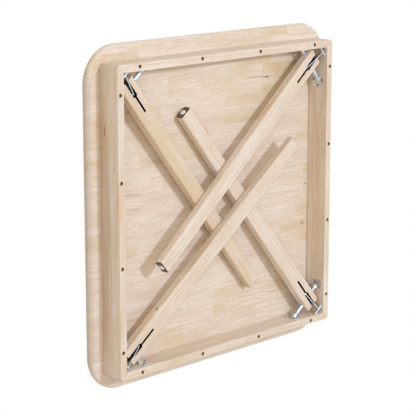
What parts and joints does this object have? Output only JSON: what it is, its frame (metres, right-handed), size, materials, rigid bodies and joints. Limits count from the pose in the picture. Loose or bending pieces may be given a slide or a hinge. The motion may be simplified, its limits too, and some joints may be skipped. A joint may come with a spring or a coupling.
{
  "type": "folding card table",
  "caption": "Square wooden card table with folding legs that pivot in its corners and brace strips that slide in slots in the legs.",
  "frame": {"origin": "centre of the playing surface, on the floor the folded table lies on", "axes": "+Z from the playing surface to the underside; +X and +Y along the board's sides, towards the picture's right and top"},
  "size_m": [0.813, 0.813, 0.0834],
  "materials": {
    "board_wood": "satin clear lacquer",
    "rail_wood": "satin clear lacquer",
    "leg_wood": "satin clear lacquer",
    "plated_steel": "bright zinc plate",
    "dark_steel": "black oxide",
    "foot_plastic": "moulded, matt",
    "glide_steel": "nickel plate"
  },
  "bodies": {
    "table_frame": {"table_top": "board_wood", "rail_front": "rail_wood", "rail_right": "rail_wood", "rail_back": "rail_wood", "rail_left": "rail_wood", "rail_screws": "dark_steel", "pivot_shaft_1": "plated_steel", "spacer_1": "plated_steel", "near_plate_1": "plated_steel", "far_plate_1": "plated_steel", "plate_screws_1": "plated_steel", "cross_pin_1": "plated_steel", "pivot_shaft_2": "plated_steel", "spacer_2": "plated_steel", "near_plate_2": "plated_steel", "far_plate_2": "plated_steel", "plate_screws_2": "plated_steel", "cross_pin_2": "plated_steel", "pivot_shaft_3": "plated_steel", "spacer_3": "plated_steel", "near_plate_3": "plated_steel", "far_plate_3": "plated_steel", "plate_screws_3": "plated_steel", "cross_pin_3": "plated_steel", "pivot_shaft_4": "plated_steel", "spacer_4": "plated_steel", "near_plate_4": "plated_steel", "far_plate_4": "plated_steel", "plate_screws_4": "plated_steel", "cross_pin_4": "plated_steel"},
    "leg_1_body": {"leg_1": "leg_wood", "leg_channel_1": "plated_steel", "foot_pad_1": "foot_plastic", "glide_1": "glide_steel"},
    "brace_1_body": {"brace_1": "plated_steel", "brace_rivet_1": "plated_steel"},
    "leg_2_body": {"leg_2": "leg_wood", "leg_channel_2": "plated_steel", "foot_pad_2": "foot_plastic", "glide_2": "glide_steel"},
    "brace_2_body": {"brace_2": "plated_steel", "brace_rivet_2": "plated_steel"},
    "leg_3_body": {"leg_3": "leg_wood", "leg_channel_3": "plated_steel", "foot_pad_3": "foot_plastic", "glide_3": "glide_steel"},
    "brace_3_body": {"brace_3": "plated_steel", "brace_rivet_3": "plated_steel"},
    "leg_4_body": {"leg_4": "leg_wood", "leg_channel_4": "plated_steel", "foot_pad_4": "foot_plastic", "glide_4": "glide_steel"},
    "brace_4_body": {"brace_4": "plated_steel", "brace_rivet_4": "plated_steel"}
  },
  "joints": [
    {"name": "leg_1_fold", "type": "hinge", "parent": "table_frame", "child": "leg_1_body", "pos_m": [0.313, -0.3085, 0.0505], "axis": [0.7793, 0.6266, 0], "range_deg": [0, 91.41]},
    {"name": "brace_1_swing", "type": "hinge", "parent": "table_frame", "child": "brace_1_body", "pos_m": [0.33806, -0.33967, 0.0695], "axis": [0.7793, 0.6266, 0], "range_deg": [0, 68.64]},
    {"name": "leg_2_fold", "type": "hinge", "parent": "table_frame", "child": "leg_2_body", "pos_m": [0.3085, 0.313, 0.0505], "axis": [-0.6266, 0.7793, 0], "range_deg": [0, 88.18]},
    {"name": "brace_2_swing", "type": "hinge", "parent": "table_frame", "child": "brace_2_body", "pos_m": [0.33967, 0.33806, 0.0695], "axis": [-0.6266, 0.7793, 0], "range_deg": [0, 67.59]},
    {"name": "leg_3_fold", "type": "hinge", "parent": "table_frame", "child": "leg_3_body", "pos_m": [-0.313, 0.3085, 0.0505], "axis": [-0.7793, -0.6266, 0], "range_deg": [0, 91.41]},
    {"name": "brace_3_swing", "type": "hinge", "parent": "table_frame", "child": "brace_3_body", "pos_m": [-0.33806, 0.33967, 0.0695], "axis": [-0.7793, -0.6266, 0], "range_deg": [0, 68.64]},
    {"name": "leg_4_fold", "type": "hinge", "parent": "table_frame", "child": "leg_4_body", "pos_m": [-0.3085, -0.313, 0.0505], "axis": [0.6266, -0.7793, 0], "range_deg": [0, 88.18]},
    {"name": "brace_4_swing", "type": "hinge", "parent": "table_frame", "child": "brace_4_body", "pos_m": [-0.33967, -0.33806, 0.0695], "axis": [0.6266, -0.7793, 0], "range_deg": [0, 67.59]}
  ],
  "couplings": [
    {"joint": "brace_1_swing", "follows": "leg_1_fold", "ratio": 0.75082},
    {"joint": "brace_2_swing", "follows": "leg_2_fold", "ratio": 0.76642},
    {"joint": "brace_3_swing", "follows": "leg_3_fold", "ratio": 0.75082},
    {"joint": "brace_4_swing", "follows": "leg_4_fold", "ratio": 0.76642}
  ]
}
